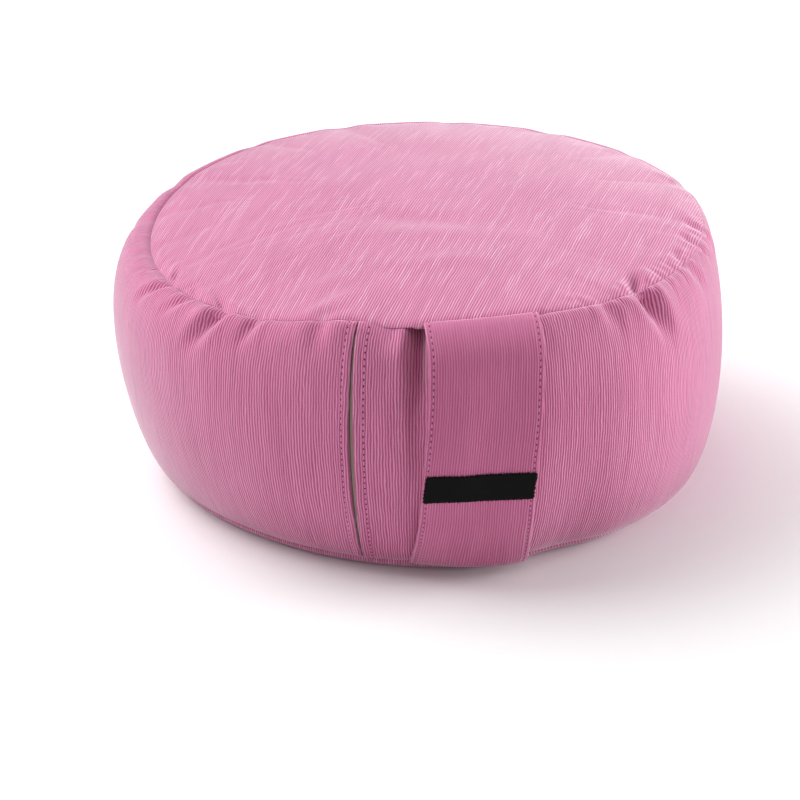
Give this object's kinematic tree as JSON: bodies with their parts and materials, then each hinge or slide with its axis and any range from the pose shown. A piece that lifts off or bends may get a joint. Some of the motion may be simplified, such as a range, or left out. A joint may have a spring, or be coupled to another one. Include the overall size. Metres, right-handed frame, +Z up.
{
  "type": "zafu meditation cushion with carrying strap",
  "caption": "Round filled floor cushion with a low crown, puckered seams, a flat carrying strap sewn into both seams, a plain woven label and a zip slit in the wall.",
  "frame": {"origin": "middle of the flat underside, on the floor", "axes": "+Z up through the top disc, -Y towards the carrying strap, +X to the right of someone who faces the strap"},
  "size_m": [0.3299, 0.3417, 0.1512],
  "materials": {
    "cover_cloth": "pink cotton rep with fine uneven ribs",
    "strap_cloth": "the same pink cotton rep, folded and topstitched",
    "label_cloth": "black woven label cloth",
    "zip_tape_cloth": "beige-grey woven zip tape"
  },
  "bodies": {
    "root": {"filled_cover": "cover_cloth", "carry_strap": "strap_cloth", "woven_label": "label_cloth", "zip_tape": "zip_tape_cloth"}
  },
  "joints": []
}
